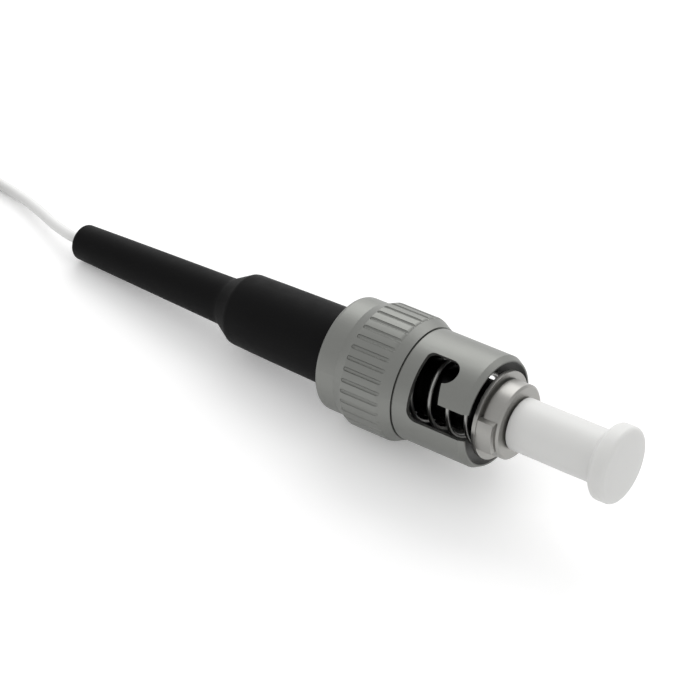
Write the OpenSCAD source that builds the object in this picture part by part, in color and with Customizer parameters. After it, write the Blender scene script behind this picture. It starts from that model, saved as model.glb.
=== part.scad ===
// Bayonet fibre connector on a short lead of buffered fibre, in millimetres.
// Every piece is turned about one axis. It is drawn standing on z, with z = 0 at the
// coupling nut's front rim and the ferrule's tip upwards, and is then laid on the floor.

/* [Coupling nut] */
// Outer diameter of the slotted bayonet barrel
barrel_d = 8.8; // [8.6:0.05:9.0]
// Wall thickness of the bayonet barrel
barrel_wall = 0.4; // [0.3:0.05:0.5]
// Length of the slotted barrel in front of the grip
barrel_len = 6.35; // [6.0:0.05:6.8]
// Diameter over the grip's ribs
grip_d = 9.92; // [9.7:0.02:10.2]
// Number of ribs round the grip
rib_count = 35; // [30:1:40]
// Diameter of the smooth collar behind the ribs
collar_d = 9.12; // [9.0:0.02:9.3]
// Whole length of the coupling nut
nut_len = 13.5; // [13.3:0.1:13.9]
// Turn of the nut about the axis, to the middle of a slot's mouth, in degrees
slot_turn = 249.6; // [0:0.1:359]

/* [Bayonet slots] */
// Width of the slot that a stud enters by
entry_w = 2.08; // [1.8:0.02:2.2]
// Distance from the rim to the back wall of the slot
slot_depth = 5.05; // [4.8:0.05:5.3]
// Distance from the rim to the front wall of the slot's cross run
cross_front = 2.9; // [2.7:0.05:3.0]
// Angle that the slot covers from its mouth to its end, in degrees
slot_sweep = 73.7; // [68:0.1:80]
// Distance from the rim to the deepest point of the locking notch
notch_front = 2.0; // [1.8:0.05:2.2]
// Diameter of the round locking notch
notch_d = 2.0; // [1.8:0.05:2.2]

/* [Ferrule body] */
// Diameter of the keyed front barrel
keyed_d = 5.84; // [5.7:0.02:6.0]
// How far the keyed barrel stands out of the nut's rim
keyed_out = 2.0; // [1.8:0.05:2.2]
// Diameter of the flange that the spring pushes on
flange_d = 6.9; // [6.6:0.05:7.2]
// Width of the key
key_w = 2.5; // [2.0:0.05:2.8]
// Turn of the key about the axis, in degrees
key_turn = 260.3; // [0:0.1:359]
// Diameter of the stem that the nut slides and turns on
stem_d = 4.4; // [4.2:0.05:4.6]

/* [Ferrule] */
// Diameter of the ferrule
ferrule_d = 2.5; // [2.5:0.001:2.501]
// How far the ferrule stands out of the nut's rim
ferrule_out = 9.0; // [8.6:0.1:9.1]
// Whole length of the ferrule
ferrule_len = 12.7; // [12.0:0.1:12.9]

/* [Spring] */
// Diameter of the spring's wire
wire_d = 0.38; // [0.34:0.01:0.4]
// Diameter of the spring at the middle of its wire
spring_d = 5.3; // [5.2:0.05:5.5]
// Distance from one working coil to the next
coil_pitch = 1.66; // [1.6:0.01:1.7]
// Turn at which the front working coil ends, in degrees
coil_turn = 70; // [0:1:359]

/* [Boot] */
// Diameter of the boot where it enters the nut
boot_front_d = 6.38; // [6.2:0.02:6.5]
// Diameter of the thick part of the boot at its rear
boot_thick_d = 5.86; // [5.7:0.02:6.0]
// Diameter of the thin part of the boot at its front
boot_thin_d = 3.88; // [3.7:0.02:4.0]
// Diameter of the boot at its tail
boot_tail_d = 2.98; // [2.8:0.02:3.2]
// Distance from the nut's rim to the end of the boot's tail
tail_back = 41; // [40:0.5:42]

/* [Dust cap] */
// Diameter of the cap's body
cap_d = 4.1; // [4.0:0.02:4.2]
// Diameter of the cap's end disc
cap_disc_d = 5.94; // [5.7:0.02:6.0]
// Distance from the nut's rim to the cap's closed end
cap_out = 11.15; // [11:0.05:11.4]

/* [Fibre] */
// Diameter of the buffered fibre
fibre_d = 0.9; // [0.9:0.01:0.92]
// Diameter of the coil of spare fibre at the middle of its turns
coil_d = 11.6; // [11:0.1:13]
// Turns that lie side by side in the coil
turns_wide = 5; // [4:1:5]
// Layers of turns in the coil
turns_high = 6; // [5:1:6]

/* [Hidden] */
$fn = 96;
over = 0.5;            // how far a cutter runs past what it cuts

// The nut's wall behind the spring, and the counterbore that hides the clip.
shoulder_z = -9.4;
wall_back_z = -11.9;
stem_gap = 0.05;
counterbore_r = 3.5;
barrel_r = barrel_d / 2;
bore_r = barrel_r - barrel_wall;
grip_r = grip_d / 2;
collar_r = collar_d / 2;
rim_chamfer = 0.25;
undercut = 0.12;
groove_r = 0.17;       // radius of the cutter between two ribs
groove_depth = 0.13;
ribs_front_z = -7.45;
ribs_back_z = -10.7;

// The ferrule body along the axis.
flange_back_z = 0.1;
flange_front_z = 0.42;
keyed_back_z = 0.6;
key_front_z = 1.75;
stem_r = stem_d / 2;
clip_back_z = -12.32;
clip_front_z = -11.92;
clip_seat_r = 1.85;
crimp_r = 2.1;
crimp_back_z = -20;
crimp_rings = 8;
tube_r = 0.78;
tube_front_z = -6;
tube_back_z = -24;

// The fibre inside the connector.
ferrule_r = ferrule_d / 2;
ferrule_back_z = ferrule_out - ferrule_len;
glass_r = 0.0625;
coating_r = 0.125;
coating_front_z = -3.4;
strip_z = -5;
fibre_r = fibre_d / 2;

// The boot and the cap along the axis.
boot_front_z = -12.55;
boot_thick_z = -23.6;
boot_thin_z = -25.4;
tail_chamfer = 0.4;
tail_z = -tail_back;
cap_back_z = 2.1;
cap_bore_r = 1.28;
cap_bore_end_z = 9.3;

// How the connector lies: on the rear end of its ribs and on the boot's tail.
rest_z = ribs_back_z;
tail_rest_z = tail_z + tail_chamfer;
tilt = atan((grip_r - boot_tail_d / 2) / (rest_z - tail_rest_z));
rim_h = grip_r * cos(tilt) - rest_z * sin(tilt);
tail_face_r = boot_tail_d / 2 - 0.34;
cap_face_r = cap_disc_d / 2 - 0.25;
back_x = tail_z * cos(tilt) - tail_face_r * sin(tilt);
front_x = cap_out * cos(tilt) + cap_face_r * sin(tilt);
rim_x = -(back_x + front_x) / 2;

// The free fibre: out of the tail, down to the floor and along it to the coil.
exit_point = [rim_x + tail_z * cos(tilt), 0, rim_h + tail_z * sin(tilt)];
route = concat([exit_point], [
    [-27.5, 0.08, 1.27], [-29.5, 0.5, 1.06], [-31.5, 1.1, 0.87], [-33.5, 1.6, 0.7],
    [-35.5, 1.95, 0.54], [-36.7, 2.07, 0.47], [-37.85, 2.2, 0.45]]);
coil_at = [-44, -3.6];
lead_sides = 8;
ring_step = 2.2;       // distance between two rings of the lead's tube

// ---- Helpers ----

// Points of an arc about [x, y], from angle a0 to a1.
function arc(x, y, r, a0, a1, n) =
    [for (i = [0:n]) let (a = a0 + (a1 - a0) * i / n) [x + r * cos(a), y + r * sin(a)]];

// A point on a smooth curve through four points, with k from 0 to 1 between the middle two.
function between(p0, p1, p2, p3, k) = 0.5 * (2 * p1 + (p2 - p0) * k
    + (2 * p0 - 5 * p1 + 4 * p2 - p3) * pow(k, 2)
    + (3 * p1 - p0 - 3 * p2 + p3) * pow(k, 3));

function unit(v) = v / norm(v);

// The rings of a round tube along a path: each ring stands square to the path, and its
// first point is turned towards up.
function ring(path, i, r, sides, up) =
    let (last = len(path) - 1,
        along = unit(path[min(i + 1, last)] - path[max(i - 1, 0)]),
        side = unit(cross(up, along)),
        top = cross(along, side))
    [for (j = [0:sides - 1]) let (a = 360 * j / sides)
        path[i] + r * (cos(a) * side + sin(a) * top)];

module tube_along(path, r, sides, up) {
    rings = len(path);
    points = [for (i = [0:rings - 1]) each ring(path, i, r, sides, up)];
    walls = [for (i = [0:rings - 2], j = [0:sides - 1])
        let (a = i * sides + j, b = i * sides + (j + 1) % sides)
        [a, b, b + sides, a + sides]];
    back_face = [for (j = [sides - 1:-1:0]) j];
    front_face = [for (j = [0:sides - 1]) (rings - 1) * sides + j];
    polyhedron(points, concat([back_face, front_face], walls));
}

// A turned solid from [radius, z] points of its half section.
module turned(profile) {
    rotate_extrude() polygon(profile);
}

module bored(r, from_z, to_z) {
    translate([0, 0, from_z]) cylinder(r = r, h = to_z - from_z);
}

// Lays a piece drawn on z along the floor, tip towards +x.
module laid() {
    translate([rim_x, 0, rim_h]) rotate([0, 90 - tilt, 0]) children();
}

// ---- Coupling nut ----

// A cutter of the given outline, square to the axis and pointing outwards at an angle.
module slot_cutter(a, outline) {
    rotate([0, 0, a]) translate([bore_r - over, 0, 0]) rotate([90, 0, 90])
        linear_extrude(barrel_wall + 2 * over) polygon(outline);
}

// One slot: in at the rim, back, across, and forward into the round notch. Angles run
// from the middle of the mouth.
module bayonet_slot() {
    degree = 360 / (2 * PI * barrel_r);    // degrees for each mm round the barrel
    half = entry_w / 2;
    notch_r = notch_d / 2;
    notch_a = half * degree - slot_sweep + notch_r * degree;
    notch_z = -notch_front - notch_r;
    ramp_from = notch_a + (notch_r - 0.15) * degree;
    ramp_to = 0.1 - half * degree;
    reach = barrel_r * sin((ramp_to - ramp_from) / 2);
    slot_cutter(0, concat([[half, over], [-half, over], [-half, -slot_depth]],
        arc(half - 0.8, 0.8 - slot_depth, 0.8, -90, 0, 8)));
    slot_cutter(notch_a, concat(arc(0, notch_z, notch_r, 0, 180, 18),
        arc(0.5 - notch_r, 0.5 - slot_depth, 0.5, 180, 270, 6), [[notch_r, -slot_depth]]));
    slot_cutter((ramp_from + ramp_to) / 2, [[-reach, -cross_front], [-reach, -cross_front - 0.3],
        [reach + 0.1, -cross_front - 0.3], [reach + 0.1, 0.4 - cross_front]]);
    rotate([0, 0, notch_a]) translate([0, 0, -slot_depth - 0.01]) rotate_extrude(angle = -notch_a)
        translate([bore_r - over, 0]) square([barrel_wall + 2 * over, slot_depth - cross_front]);
}

module rib_grooves() {
    cut_r = grip_r - groove_depth + groove_r;
    for (i = [0:rib_count - 1])
        rotate([0, 0, 360 * i / rib_count - slot_turn]) translate([cut_r, 0, ribs_back_z + 0.15]) {
            cylinder(r = groove_r, h = -barrel_len - ribs_back_z - 0.2, $fn = 16);
            sphere(r = groove_r, $fn = 16);
        }
}

module coupling_nut() {
    color("darkgray") laid() rotate([0, 0, slot_turn]) difference() {
        turned(concat(
            [[bore_r, 0], [barrel_r - rim_chamfer, 0], [barrel_r, -0.45],
                [barrel_r, -barrel_len], [barrel_r - undercut, -barrel_len],
                [barrel_r - undercut, -barrel_len - undercut],
                [barrel_r + 0.08, -barrel_len - undercut]],
            arc(grip_r - 0.5, ribs_front_z - 0.15, 0.5, 42, 0, 5),
            [[grip_r, ribs_back_z], [collar_r + 0.12, -11.35], [collar_r, -11.65]],
            arc(collar_r - 0.35, 0.35 - nut_len, 0.35, 0, -90, 6),
            [[counterbore_r, -nut_len], [counterbore_r, wall_back_z],
                [stem_r + stem_gap, wall_back_z], [stem_r + stem_gap, shoulder_z],
                [bore_r, shoulder_z]]));
        for (half_turn = [0, 180]) rotate([0, 0, half_turn]) bayonet_slot();
        rib_grooves();
    }
}

// ---- Ferrule body ----

module key() {
    rotate([0, 0, key_turn]) intersection() {
        translate([1.5, -key_w / 2, 0.3]) cube([flange_d, key_w, key_front_z - 0.3]);
        bored(flange_d / 2 - 0.05, 0.2, keyed_out);
    }
}

module ferrule_body() {
    keyed_r = keyed_d / 2;
    ring_pitch = (clip_back_z - crimp_back_z - 1) / crimp_rings;
    color("gainsboro") laid() difference() {
        union() {
            turned([[0, keyed_out], [keyed_r - 0.17, keyed_out], [keyed_r, keyed_out - 0.15],
                [keyed_r, keyed_back_z], [keyed_r - 0.27, keyed_back_z],
                [keyed_r - 0.27, flange_front_z], [flange_d / 2, flange_front_z],
                [flange_d / 2, flange_back_z], [stem_r, flange_back_z],
                [stem_r, clip_front_z + 0.02], [clip_seat_r, clip_front_z + 0.02],
                [clip_seat_r, clip_back_z - 0.02], [crimp_r, clip_back_z - 0.02],
                [crimp_r, crimp_back_z + 0.2], [crimp_r - 0.2, crimp_back_z], [0, crimp_back_z]]);
            key();
        }
        bored(ferrule_r, ferrule_back_z, keyed_out + over);
        bored(tube_r, crimp_back_z - over, ferrule_back_z + over);
        for (i = [1:crimp_rings])
            translate([0, 0, crimp_back_z + 0.4 + i * ring_pitch])
                rotate_extrude() polygon([[crimp_r - 0.15, 0], [crimp_r + over, -0.15 - over],
                    [crimp_r + over, 0.15 + over]]);
    }
}

// ---- Ferrule and fibre inside the connector ----

module ferrule() {
    tip = 0.45;
    color("white") laid() difference() {
        turned([[0, ferrule_out], [ferrule_r - 0.25, ferrule_out], [ferrule_r, ferrule_out - tip],
            [ferrule_r, ferrule_back_z + 0.2], [ferrule_r - 0.1, ferrule_back_z],
            [0, ferrule_back_z]]);
        bored(glass_r, ferrule_back_z - over, ferrule_out + over);
        translate([0, 0, ferrule_back_z - 0.01])
            cylinder(r1 = 0.5, r2 = glass_r, h = 1);
    }
}

module bare_fibre() {
    color("lightyellow") laid() turned([[0, ferrule_out], [glass_r, ferrule_out],
        [glass_r, coating_front_z], [coating_r, coating_front_z], [coating_r, strip_z],
        [0, strip_z]]);
}

module buffered_fibre() {
    color("whitesmoke") laid() bored(fibre_r, tail_z, strip_z);
}

module guide_tube() {
    color("white") laid() difference() {
        bored(tube_r, tube_back_z, tube_front_z);
        bored(fibre_r + 0.03, tube_back_z - over, tube_front_z + over);
    }
}

// ---- Clip and spring ----

// An open ring in the stem's groove, which keeps the nut on.
module retaining_clip() {
    clip_r = 2.95;
    gap_w = 2.6;
    color("silver") laid() difference() {
        bored(clip_r, clip_back_z, clip_front_z);
        bored(clip_seat_r + 0.01, clip_back_z - over, clip_front_z + over);
        translate([0, -gap_w / 2, clip_back_z - over])
            cube([clip_r + over, gap_w, clip_front_z - clip_back_z + 2 * over]);
    }
}

// Rounds a corner: near 0 below zero, near x above it.
function soft(x) = (x + sqrt(x * x + 1600)) / 2;

// Height of the wire's middle at an angle: a flat coil, the working coils, a flat coil.
function wire_z(a, working) = shoulder_z + wire_d / 2 + 0.01
    + coil_pitch / 360 * (soft(a) - soft(a - working));

module spring() {
    working = (flange_back_z - shoulder_z - wire_d - 0.02) / coil_pitch * 360;
    flat = 250;
    steps = 220;
    path = [for (i = [0:steps]) let (a = -flat + (working + 2 * flat) * i / steps)
        [spring_d / 2 * cos(a), spring_d / 2 * sin(a), wire_z(a, working)]];
    color("dimgray") laid() rotate([0, 0, coil_turn - working])
        tube_along(path, wire_d / 2, 8, [0, 0, 1]);
}

// ---- Boot and dust cap ----

module boot() {
    color("#1c1c1e") laid() difference() {
        turned(concat([[0, boot_front_z], [boot_front_d / 2 - 0.2, boot_front_z],
                [boot_front_d / 2, boot_front_z - 0.2],
                [boot_thick_d / 2, boot_thick_z], [boot_thin_d / 2, boot_thin_z]],
            [[boot_tail_d / 2, tail_rest_z]],
            arc(tail_face_r - 0.06, tail_rest_z, 0.4, -15, -80, 5),
            [[0, tail_z]]));
        bored(crimp_r, crimp_back_z, boot_front_z + over);
        bored(tube_r, tube_back_z, crimp_back_z + over);
        bored(fibre_r, tail_z - over, tube_back_z + over);
    }
}

module dust_cap() {
    cap_r = cap_d / 2;
    disc_r = cap_disc_d / 2;
    color("#f4f4f2") laid() difference() {
        turned(concat([[0, cap_back_z], [cap_r - 0.15, cap_back_z], [cap_r, cap_back_z + 0.15]],
            arc(cap_r + 0.55, 9, 0.55, 180, 100, 6),
            [[disc_r - 0.1, 9.7], [disc_r, 9.95]],
            arc(disc_r - 0.35, cap_out - 0.45, 0.35, 0, 80, 6),
            [[0, cap_out]]));
        bored(cap_bore_r, cap_back_z - over, cap_bore_end_z);
        translate([0, 0, cap_back_z - 0.01])
            cylinder(r1 = cap_bore_r + 0.25, r2 = cap_bore_r, h = 0.25);
    }
}

// ---- Free fibre ----

module fibre_lead() {
    last = len(route) - 1;
    path = concat([for (i = [0:last - 1])
        let (pieces = max(1, round(norm(route[i + 1] - route[i]) / ring_step)))
        for (j = [0:pieces - 1])
        between(route[max(i - 1, 0)], route[i], route[i + 1], route[min(i + 2, last)], j / pieces)],
        [route[last]]);
    color("whitesmoke") tube_along(path, fibre_r, lead_sides, [0, 0, 1]);
}

module fibre_coil() {
    wide = turns_wide * fibre_d;
    color("whitesmoke") translate([coil_at.x, coil_at.y, 0])
        rotate_extrude() translate([(coil_d - wide) / 2, 0]) square([wide, turns_high * fibre_d]);
}

coupling_nut();
ferrule_body();
ferrule();
bare_fibre();
buffered_fibre();
guide_tube();
retaining_clip();
spring();
boot();
dust_cap();
fibre_lead();
fibre_coil();
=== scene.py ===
import math

import bpy
from mathutils import Matrix, Vector


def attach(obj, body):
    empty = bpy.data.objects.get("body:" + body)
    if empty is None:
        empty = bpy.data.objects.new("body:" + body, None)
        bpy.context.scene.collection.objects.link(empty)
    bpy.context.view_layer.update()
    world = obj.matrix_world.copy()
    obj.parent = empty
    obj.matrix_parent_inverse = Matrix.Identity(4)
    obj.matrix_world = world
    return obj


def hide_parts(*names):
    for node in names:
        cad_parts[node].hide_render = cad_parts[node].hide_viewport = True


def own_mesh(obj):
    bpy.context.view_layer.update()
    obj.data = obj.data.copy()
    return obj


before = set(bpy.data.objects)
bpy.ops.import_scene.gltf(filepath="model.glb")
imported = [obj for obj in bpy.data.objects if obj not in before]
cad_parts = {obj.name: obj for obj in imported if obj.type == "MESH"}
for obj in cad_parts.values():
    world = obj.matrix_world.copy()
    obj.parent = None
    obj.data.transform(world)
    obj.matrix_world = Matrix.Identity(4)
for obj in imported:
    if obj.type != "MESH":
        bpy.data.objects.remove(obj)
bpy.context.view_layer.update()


# ---- Camera ----
# A long lens looks down on the connector from its front right, so that the nut's slot,
# the spring behind it and the boot are all seen along their length.
LOOKS_DOWN = 43.999
LOOKS_TOWARDS = 126.818
bpy.ops.object.camera_add(
    location=(0.08371, -0.1101, 0.13766),
    rotation=(math.radians(90 - LOOKS_DOWN), 0, math.radians(LOOKS_TOWARDS - 90)))
camera = bpy.context.object
camera.name = "camera"
camera.data.sensor_width = 36
camera.data.lens = 129.4
camera.data.clip_start = 0.01
bpy.context.scene.camera = camera
bpy.context.scene.view_settings.view_transform = "Standard"


# ---- Buffered fibre: the free lead and its coil ----
# One metre of tight-buffered fibre, 0.9 mm thick, in a smooth white plastic jacket. It
# leaves the boot's tail, comes down to the floor, and its spare length is wound in a
# round coil that lies on the same floor.
FIBRE_R = 0.00045
# The connector rests on the back of its grip and on its boot's tail, so its axis tilts.
# Both radii, and their distances behind the nut's rim, are in millimetres.
GRIP_R, GRIP_BACK = 4.96, 10.7
TAIL_R, TAIL_BACK = 1.49, 40.6
LAID_TILT = math.atan((GRIP_R - TAIL_R) / (TAIL_BACK - GRIP_BACK))
RIM = Vector((0.014735, 0, 0.0061604))
AXIS = Vector((math.cos(LAID_TILT), 0, math.sin(LAID_TILT)))
BOOT_REACH = 0.041
lead_end = RIM - AXIS * BOOT_REACH
route = [lead_end] + [Vector(p) / 1000 for p in (
    (-27.5, 0.08, 1.27), (-29.5, 0.5, 1.06), (-31.5, 1.1, 0.87), (-33.5, 1.6, 0.7),
    (-35.5, 1.95, 0.54), (-36.7, 2.07, 0.47), (-37.85, 2.2, 0.45), (-39.4, 2.62, 0.45))]
COIL_CENTRE = Vector((-0.044, -0.0036, 0))
COIL_RADII = [0.0076, 0.0067, 0.0058, 0.0049, 0.004]
COIL_START = 62
STEPS_A_TURN = 36
SHIFT_FROM = 0.75     # the part of a turn after which the fibre moves to its next place
FIBRE_LENGTH = 1.0


def smooth_path(points, steps):
    """A curve through all the points, as Catmull and Rom draw it."""
    out = []
    for i in range(len(points) - 1):
        a, b = points[max(i - 1, 0)], points[i]
        c, d = points[i + 1], points[min(i + 2, len(points) - 1)]
        for k in range(steps):
            t = k / steps
            out.append(0.5 * (2 * b + (c - a) * t + (2 * a - 5 * b + 4 * c - d) * t**2
                              + (3 * b - a - 3 * c + d) * t**3))
    return out + [points[-1]]


lead_points = smooth_path(route, 4)
length = sum((b - a).length for a, b in zip(lead_points, lead_points[1:]))
step = 0
while length < FIBRE_LENGTH:
    turn, part = divmod(step, STEPS_A_TURN)
    layer, place = divmod(turn, len(COIL_RADII))
    order = COIL_RADII if layer % 2 == 0 else COIL_RADII[::-1]
    here = order[place]
    if place + 1 < len(order):
        after, layer_after = order[place + 1], layer
    else:
        after, layer_after = here, layer + 1
    share = max(0.0, part / STEPS_A_TURN - SHIFT_FROM) / (1 - SHIFT_FROM)
    share = share * share * (3 - 2 * share)
    radius = here + (after - here) * share
    height = FIBRE_R * (1 + 2 * (layer + (layer_after - layer) * share))
    angle = math.radians(COIL_START) + 2 * math.pi * part / STEPS_A_TURN
    point = COIL_CENTRE + Vector((radius * math.cos(angle), radius * math.sin(angle), height))
    length += (point - lead_points[-1]).length
    lead_points.append(point)
    step += 1

fibre_curve = bpy.data.curves.new("fibre_lead_skin", "CURVE")
fibre_curve.dimensions = "3D"
fibre_curve.bevel_depth = FIBRE_R
fibre_curve.bevel_resolution = 4
fibre_curve.use_fill_caps = True
spline = fibre_curve.splines.new("POLY")
spline.points.add(len(lead_points) - 1)
for point, place in zip(spline.points, lead_points):
    point.co = (*place, 1)
spline.use_smooth = True
free_fibre = bpy.data.objects.new("free_fibre", fibre_curve)
bpy.context.scene.collection.objects.link(free_fibre)

jacket = bpy.data.materials.new("fibre_jacket")
jacket.use_nodes = True
shader = jacket.node_tree.nodes["Principled BSDF"]
shader.inputs["Base Color"].default_value = (0.80, 0.80, 0.79, 1)
shader.inputs["Roughness"].default_value = 0.42
fibre_curve.materials.append(jacket)

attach(free_fibre, "plug")
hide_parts("fibre_lead", "fibre_coil")


# ---- Boot ----
# A soft black moulded sleeve that keeps the fibre from kinking where it leaves the
# connector. Its thick front is pushed over the crimp stem and into the back of the nut.
LAID = Matrix.Translation(RIM) @ Matrix.Rotation(math.radians(90) - LAID_TILT, 4, "Y")


def turned_skin(name, section, sides=96):
    """A closed turned shell: a ring is extruded and scaled along [radius, height] points."""
    radius, height = section[0]
    bpy.ops.mesh.primitive_circle_add(vertices=sides, radius=radius, location=(0, 0, 0))
    skin = bpy.context.object
    skin.name = name
    bpy.ops.object.mode_set(mode="EDIT")
    bpy.ops.mesh.select_all(action="SELECT")
    bpy.ops.transform.translate(value=(0, 0, height))
    for wider, higher in section[1:] + section[:1]:
        bpy.ops.mesh.extrude_region_move(TRANSFORM_OT_translate={"value": (0, 0, higher - height)})
        bpy.ops.transform.resize(value=(wider / radius, wider / radius, 1),
                                 center_override=(0, 0, higher))
        radius, height = wider, higher
    bpy.ops.mesh.select_all(action="SELECT")
    bpy.ops.mesh.remove_doubles(threshold=1e-7)
    bpy.ops.mesh.normals_make_consistent(inside=False)
    bpy.ops.object.mode_set(mode="OBJECT")
    bpy.ops.object.shade_smooth_by_angle(angle=math.radians(35))
    skin.data.transform(LAID)
    return skin


def corner(centre_r, centre_z, size, start, end, steps=6):
    """Points of a rounded corner, given in millimetres and degrees, in metres."""
    angles = [math.radians(start + (end - start) * i / steps) for i in range(steps + 1)]
    return [((centre_r + size * math.cos(a)) / 1000, (centre_z + size * math.sin(a)) / 1000)
            for a in angles]


def mm(*points):
    """Points of a turned section, given in millimetres, in metres."""
    return [(r / 1000, z / 1000) for r, z in points]


boot_section = (mm((0.46, -41))
                + corner(1.09, -40.6, 0.4, -90, 0)
                + mm((1.62, -36.5), (1.78, -31), (1.92, -25.9), (1.94, -25.55), (1.98, -25.36),
                     (2.05, -25.2), (2.8, -23.83), (2.88, -23.7), (2.925, -23.5),
                     (3.0, -21), (3.08, -17.5), (3.15, -14.2))
                + corner(3.0, -12.75, 0.19, 0, 90)
                + mm((2.12, -12.56), (2.12, -20), (0.8, -20), (0.8, -24.02), (0.46, -24.02)))
boot = turned_skin("boot_skin", boot_section)


def work_out(tree, kind, operation, *feeds):
    """A maths node whose inputs are fed by sockets or set to plain values."""
    made = tree.nodes.new(kind)
    made.operation = operation
    for socket, feed in zip(made.inputs, feeds):
        if isinstance(feed, bpy.types.NodeSocket):
            tree.links.new(feed, socket)
        else:
            socket.default_value = feed
    return made


def noise(size, detail):
    """A noise over the stretched surface place, of a size fed by a socket."""
    cloud = grain.nodes.new("ShaderNodeTexNoise")
    cloud.inputs["Detail"].default_value = detail
    grain.links.new(stretched.outputs[0], cloud.inputs["Vector"])
    grain.links.new(size, cloud.inputs["Scale"])
    return cloud.outputs["Fac"]


# The fine grain that moulded and plated surfaces share: a soft mottle and a small height,
# with the distance along the connector's axis and the distance from it.
BROAD_SHARE = 0.11    # the broad mottle's noise scale, as a share of the fine grain's
grain = bpy.data.node_groups.new("fine_grain", "ShaderNodeTree")
for title, kind in (("Size", "NodeSocketFloat"), ("Stretch", "NodeSocketVector")):
    grain.interface.new_socket(title, in_out="INPUT", socket_type=kind)
for title in ("Mottle", "Height", "Along", "Radius"):
    grain.interface.new_socket(title, in_out="OUTPUT", socket_type="NodeSocketFloat")
group_in = grain.nodes.new("NodeGroupInput")
group_out = grain.nodes.new("NodeGroupOutput")
surface_place = grain.nodes.new("ShaderNodeTexCoord")
upright = grain.nodes.new("ShaderNodeMapping")
upright.vector_type = "TEXTURE"
upright.inputs["Location"].default_value = RIM
upright.inputs["Rotation"].default_value = (0, math.radians(90) - LAID_TILT, 0)
grain.links.new(surface_place.outputs["Object"], upright.inputs["Vector"])
parts = grain.nodes.new("ShaderNodeSeparateXYZ")
grain.links.new(upright.outputs[0], parts.inputs[0])
grain.links.new(parts.outputs["Z"], group_out.inputs["Along"])
flat = work_out(grain, "ShaderNodeVectorMath", "MULTIPLY", upright.outputs[0], (1, 1, 0))
from_axis = work_out(grain, "ShaderNodeVectorMath", "LENGTH", flat.outputs[0])
grain.links.new(from_axis.outputs["Value"], group_out.inputs["Radius"])
stretched = work_out(grain, "ShaderNodeVectorMath", "MULTIPLY", upright.outputs[0],
                     group_in.outputs["Stretch"])
fine = noise(group_in.outputs["Size"], 4)
broad_size = work_out(grain, "ShaderNodeMath", "MULTIPLY", group_in.outputs["Size"], BROAD_SHARE)
broad = noise(broad_size.outputs[0], 3)
grain.links.new(fine, group_out.inputs["Height"])
blend_tone = grain.nodes.new("ShaderNodeMix")
blend_tone.inputs["Factor"].default_value = 0.35
grain.links.new(broad, blend_tone.inputs[2])
grain.links.new(fine, blend_tone.inputs[3])
grain.links.new(blend_tone.outputs[0], group_out.inputs["Mottle"])

# The sockets of a mix node that mixes colours.
MIX_SHARE, COLOUR_A, COLOUR_B, COLOUR_OUT = 0, 6, 7, 2


def finish_material(name, dark, light, rough, metallic, size, stretch_by, bump, bump_depth):
    """A material whose colour and roughness drift between two values over the grain."""
    made = bpy.data.materials.new(name)
    made.use_nodes = True
    tree = made.node_tree
    body = tree.nodes["Principled BSDF"]
    body.inputs["Metallic"].default_value = metallic
    use = tree.nodes.new("ShaderNodeGroup")
    use.node_tree = grain
    use.inputs["Size"].default_value = size
    use.inputs["Stretch"].default_value = stretch_by
    colour = tree.nodes.new("ShaderNodeMix")
    colour.data_type = "RGBA"
    colour.inputs[COLOUR_A].default_value = (*dark, 1)
    colour.inputs[COLOUR_B].default_value = (*light, 1)
    tree.links.new(use.outputs["Mottle"], colour.inputs[MIX_SHARE])
    tree.links.new(colour.outputs[COLOUR_OUT], body.inputs["Base Color"])
    dull = tree.nodes.new("ShaderNodeMapRange")
    dull.inputs["From Min"].default_value = 0.3
    dull.inputs["From Max"].default_value = 0.7
    dull.inputs["To Min"].default_value = rough[0]
    dull.inputs["To Max"].default_value = rough[1]
    tree.links.new(use.outputs["Mottle"], dull.inputs["Value"])
    tree.links.new(dull.outputs[0], body.inputs["Roughness"])
    raised = tree.nodes.new("ShaderNodeBump")
    raised.inputs["Strength"].default_value = bump
    raised.inputs["Distance"].default_value = bump_depth
    tree.links.new(use.outputs["Height"], raised.inputs["Height"])
    tree.links.new(raised.outputs[0], body.inputs["Normal"])
    return made


rubber = finish_material("boot_rubber", (0.003, 0.003, 0.0032), (0.006, 0.006, 0.0062),
                         (0.5, 0.62), 0, 9000, (1, 1, 1), 0.35, 0.00002)
rubber.node_tree.nodes["Principled BSDF"].inputs["Specular IOR Level"].default_value = 0.07
boot.data.materials.append(rubber)
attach(boot, "plug")
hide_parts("boot")


# ---- Coupling nut ----
# Turned brass with a satin nickel plate, gone dull and slightly green. The two slots
# are milled through its wall, and the grip's ribs are rolled.
def dress(node, material):
    """Gives a frame node one material in place of its plain ones."""
    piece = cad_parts[node]
    piece.data.materials.clear()
    piece.data.materials.append(material)


def paint_shade(material, measure, start, end, tone):
    """Paints shade into a colour: it rises from a dark tone to its own as a measure goes from
    start to end.
    """
    tree = material.node_tree
    body = tree.nodes["Principled BSDF"]
    use = next(n for n in tree.nodes if n.type == "GROUP")
    fall = tree.nodes.new("ShaderNodeMapRange")
    fall.inputs["From Min"].default_value = start
    fall.inputs["From Max"].default_value = end
    tree.links.new(use.outputs[measure], fall.inputs["Value"])
    under = tree.nodes.new("ShaderNodeMix")
    under.data_type = "RGBA"
    under.inputs[COLOUR_A].default_value = (*tone, 1)
    tree.links.new(fall.outputs[0], under.inputs[MIX_SHARE])
    tree.links.new(body.inputs["Base Color"].links[0].from_socket, under.inputs[COLOUR_B])
    tree.links.new(under.outputs[COLOUR_OUT], body.inputs["Base Color"])


satin_nickel = finish_material("satin_nickel", (0.20, 0.205, 0.193), (0.26, 0.263, 0.25),
                               (0.42, 0.52), 1, 5200, (1, 1, 0.25), 0.25, 0.000012)
# Painted shade: inside a radius of about 4 mm, the nut's bore is painted near black.
paint_shade(satin_nickel, "Radius", 0.00398, 0.00412, (0.07, 0.07, 0.068))
dress("coupling_nut", satin_nickel)


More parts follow.
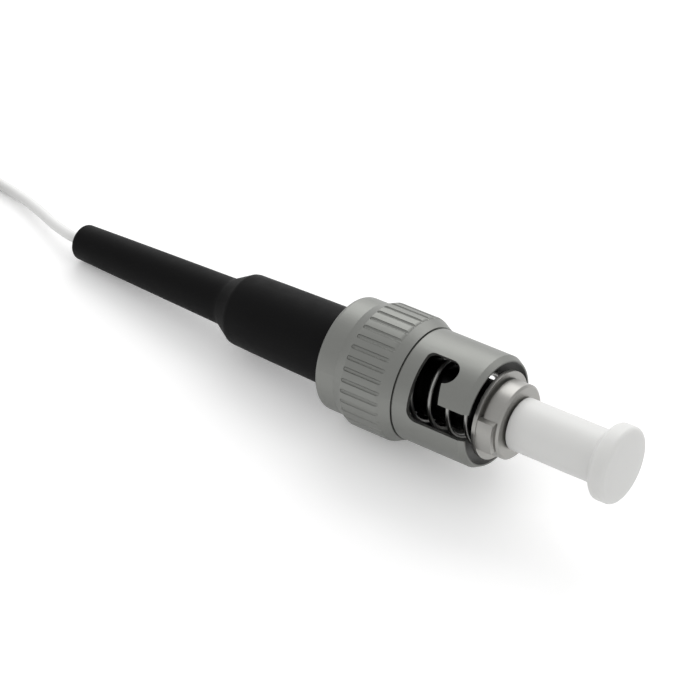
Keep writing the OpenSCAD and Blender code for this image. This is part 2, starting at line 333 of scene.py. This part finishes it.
# ---- Spring ----
# Hard-drawn steel wire in a right-hand coil with flat ends. It sits between the nut's
# rear wall and the flange, and shows through the slots.
WIRE_R = 0.00019
COIL_R = 0.00265
PITCH = 0.00166
SPRING_BACK, SPRING_FRONT = -0.0094, 0.0001
END_GAP = 1e-5        # between the wire and what it pushes on
FLAT_END = 250        # degrees of closed coil at each end
FRONT_TURN = 70
EASE = 40             # degrees over which the wire leaves a flat end
WIRE_STEPS = 420
wound_length = SPRING_FRONT - SPRING_BACK - 2 * WIRE_R - 2 * END_GAP
working = math.degrees(2 * math.pi * wound_length / PITCH)


def eased(angle):
    """Nearly nothing below zero and nearly the angle above it, with a soft bend between."""
    return (angle + math.sqrt(angle * angle + EASE * EASE)) / 2


spring_curve = bpy.data.curves.new("spring_wire", "CURVE")
spring_curve.dimensions = "3D"
spring_curve.bevel_depth = WIRE_R
spring_curve.bevel_resolution = 5
spring_curve.use_fill_caps = True
wire = spring_curve.splines.new("POLY")
wire.points.add(WIRE_STEPS)
for i, point in enumerate(wire.points):
    angle = -FLAT_END + (working + 2 * FLAT_END) * i / WIRE_STEPS
    turned_to = math.radians(angle + FRONT_TURN - working)
    climb = eased(angle) - eased(angle - working)
    height = SPRING_BACK + WIRE_R + END_GAP + PITCH / 360 * climb
    point.co = (*(LAID @ Vector((COIL_R * math.cos(turned_to), COIL_R * math.sin(turned_to),
                                 height))), 1)
wire.use_smooth = True
spring = bpy.data.objects.new("spring_skin", spring_curve)
bpy.context.scene.collection.objects.link(spring)
bpy.ops.object.select_all(action="DESELECT")
spring.select_set(True)
bpy.context.view_layer.objects.active = spring
bpy.ops.object.convert(target="MESH")
spring = bpy.context.object
bpy.ops.object.mode_set(mode="EDIT")
bpy.ops.mesh.select_all(action="SELECT")
bpy.ops.mesh.normals_make_consistent(inside=False)
bpy.ops.object.mode_set(mode="OBJECT")
spring_steel = finish_material("spring_steel", (0.30, 0.30, 0.29), (0.40, 0.40, 0.385),
                               (0.3, 0.4), 1, 7000, (1, 1, 1), 0.1, 0.00001)
spring.data.materials.append(spring_steel)
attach(spring, "spring")
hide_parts("spring")
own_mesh(spring)


# ---- Ferrule body, ferrule and clip ----
# The body is turned from brass and nickel plated, brighter than the nut. It holds the
# white ceramic ferrule, and the clip behind it keeps the nut on.
bright_nickel = finish_material("bright_nickel", (0.30, 0.295, 0.28), (0.37, 0.365, 0.35),
                                (0.3, 0.4), 1, 6000, (1, 1, 0.2), 0.15, 0.00001)
# Painted shade: the body behind the nut's rim, inside the nut, is painted near black.
paint_shade(bright_nickel, "Along", -0.0001, 0.0001, (0.015, 0.015, 0.015))
dress("ferrule_body", bright_nickel)
dress("retaining_clip", spring_steel)
ceramic = finish_material("ceramic", (0.82, 0.81, 0.78), (0.86, 0.85, 0.82),
                          (0.12, 0.18), 0, 4000, (1, 1, 1), 0.05, 0.000005)
dress("ferrule", ceramic)


# ---- Fibre inside the connector ----
# The glass and its coating end in the ferrule. The jacketed fibre runs through the boot,
# and a thin plastic tube leads it into the body.
glass = bpy.data.materials.new("glass_fibre")
glass.use_nodes = True
clear = glass.node_tree.nodes["Principled BSDF"]
clear.inputs["Base Color"].default_value = (0.93, 0.95, 0.96, 1)
clear.inputs["Roughness"].default_value = 0.05
clear.inputs["Transmission Weight"].default_value = 0.9
dress("bare_fibre", glass)
dress("buffered_fibre", jacket)
waxy = finish_material("guide_tube_plastic", (0.8, 0.8, 0.79), (0.86, 0.86, 0.85),
                       (0.4, 0.5), 0, 3000, (1, 1, 1), 0.1, 0.00001)
dress("guide_tube", waxy)


# ---- Dust cap ----
# A soft milky cap moulded in one piece, a push fit on the ferrule, with a wider disc at
# its end to pull it by. Light goes a little way into it.
cap_section = (corner(1.9, 2.25, 0.15, -90, 0, 4)
               + mm((2.05, 4.5), (2.06, 7.0), (2.05, 8.9))
               + corner(2.62, 8.95, 0.56, 175, 95, 7)
               + mm((2.74, 9.62))
               + corner(2.65, 9.98, 0.32, -55, 0, 4)
               + corner(2.62, 10.7, 0.35, 0, 80, 6)
               + mm((1.6, 11.12), (0.5, 11.15), (0.02, 11.15), (0.02, 9.3))
               + mm((1.2, 9.3), (1.28, 9.22), (1.28, 2.35), (1.5, 2.1)))
cap = turned_skin("cap_skin", cap_section)
milky = finish_material("cap_plastic", (0.68, 0.68, 0.67), (0.73, 0.73, 0.715),
                        (0.4, 0.5), 0, 1800, (1, 1, 0.3), 0.12, 0.00002)
milk = milky.node_tree.nodes["Principled BSDF"]
milk.inputs["Subsurface Weight"].default_value = 0.35
milk.inputs["Subsurface Radius"].default_value = (1, 1, 0.95)
milk.inputs["Subsurface Scale"].default_value = 0.0008
cap.data.materials.append(milky)
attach(cap, "cap")
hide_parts("dust_cap")


# ---- Floor and light ----
# A plain white table in an even white surround, with one large soft lamp behind. The
# table looks lighter than it lights the connector, and it keeps the shadow.
bpy.ops.mesh.primitive_plane_add(size=6, location=(0, 0, 0))
floor = bpy.context.object
floor.name = "floor"
table_white = bpy.data.materials.new("table_white")
table_white.use_nodes = True
tree = table_white.node_tree
tree.nodes.remove(tree.nodes["Principled BSDF"])
matt = tree.nodes.new("ShaderNodeBsdfDiffuse")
glow = tree.nodes.new("ShaderNodeEmission")
lit = tree.nodes.new("ShaderNodeAddShader")
tree.links.new(matt.outputs[0], lit.inputs[0])
tree.links.new(glow.outputs[0], lit.inputs[1])
tree.links.new(lit.outputs[0], tree.nodes["Material Output"].inputs["Surface"])
rays = tree.nodes.new("ShaderNodeLightPath")
seen = rays.outputs["Is Camera Ray"]
for ray in ("Is Glossy Ray", "Is Transmission Ray"):
    seen = work_out(tree, "ShaderNodeMath", "MAXIMUM", seen, rays.outputs[ray]).outputs[0]
paper = tree.nodes.new("ShaderNodeMapRange")
paper.inputs["To Min"].default_value = 0.85
paper.inputs["To Max"].default_value = 1.0
tree.links.new(seen, paper.inputs["Value"])
tree.links.new(paper.outputs[0], matt.inputs["Color"])
shine = work_out(tree, "ShaderNodeMath", "MULTIPLY", seen, 0.15)
tree.links.new(shine.outputs[0], glow.inputs["Strength"])
floor.data.materials.append(table_white)

world = bpy.data.worlds.new("studio")
bpy.context.scene.world = world
world.use_nodes = True
backdrop = world.node_tree.nodes["Background"]
backdrop.inputs["Color"].default_value = (1, 1, 1, 1)
backdrop.inputs["Strength"].default_value = 0.8

LAMP_AT = Vector((-0.35, 0.75, 0.6))
bpy.ops.object.light_add(type="AREA", location=LAMP_AT)
lamp = bpy.context.object
lamp.name = "lamp_behind"
lamp.data.shape = "SQUARE"
lamp.data.size = 0.9
lamp.data.energy = 5
lamp.rotation_euler = (-LAMP_AT).to_track_quat("-Z", "Y").to_euler()
